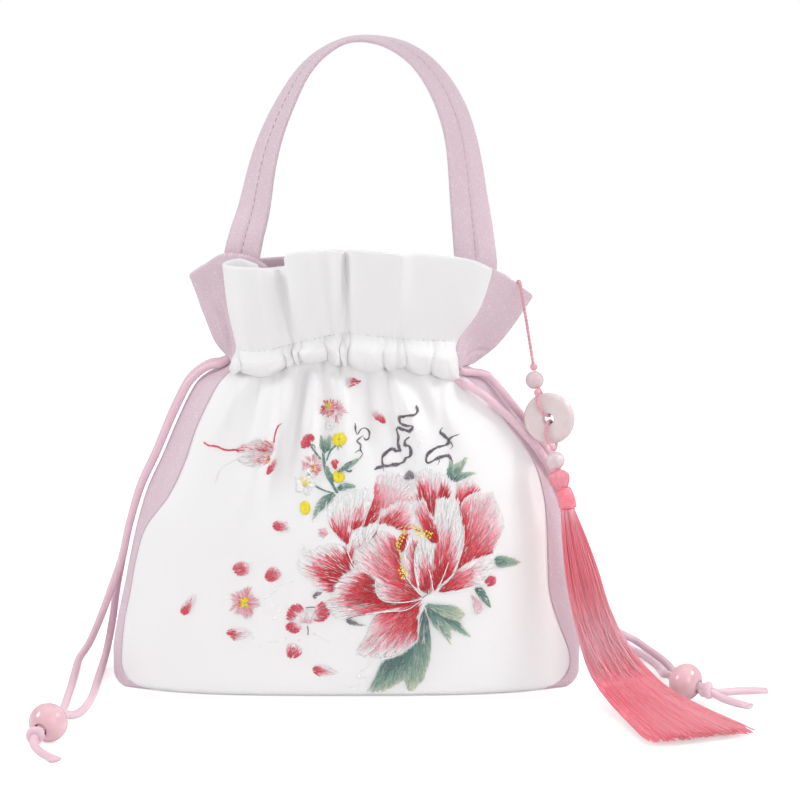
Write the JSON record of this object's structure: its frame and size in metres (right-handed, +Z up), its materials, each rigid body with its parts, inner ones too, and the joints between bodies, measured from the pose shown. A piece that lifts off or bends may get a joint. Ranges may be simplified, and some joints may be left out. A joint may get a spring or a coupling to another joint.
{
  "type": "embroidered drawstring purse",
  "caption": "White satin drawstring purse with a flower embroidered on the front, pink sides, a strap handle, knotted cords with beads and a jade pendant with a tassel.",
  "frame": {"origin": "on the floor under the middle of the bag's base", "axes": "+Z up, -Y towards the front with the embroidery, +X towards the side with the tassel"},
  "size_m": [0.3173, 0.1703, 0.2895],
  "materials": {
    "white_satin": "soft satin",
    "pink_satin": "satin with a fine sparkle",
    "satin_cord": "braided satin",
    "pink_bead": "polished",
    "rose_quartz": "polished",
    "white_jade": "polished",
    "pink_thread": "twisted thread",
    "tassel_silk": "silk floss",
    "embroidery_silk": "silk thread in many colours, on the front panel"
  },
  "bodies": {
    "root": {"front_panel": "white_satin", "back_panel": "white_satin", "gusset": "pink_satin", "front_frill": "white_satin", "back_frill": "white_satin", "left_wing": "pink_satin", "right_wing": "pink_satin", "handle": "pink_satin", "left_cord_front": "satin_cord", "left_cord_back": "satin_cord", "right_cord_front": "satin_cord", "right_cord_back": "satin_cord", "left_bead": "pink_bead", "right_bead": "pink_bead", "left_knot": "satin_cord", "right_knot": "satin_cord", "pendant_upper_thread": "pink_thread", "upper_bead": "rose_quartz", "jade_disc": "white_jade", "pendant_lower_thread": "pink_thread", "lower_bead": "rose_quartz", "tassel": "tassel_silk"}
  },
  "joints": []
}
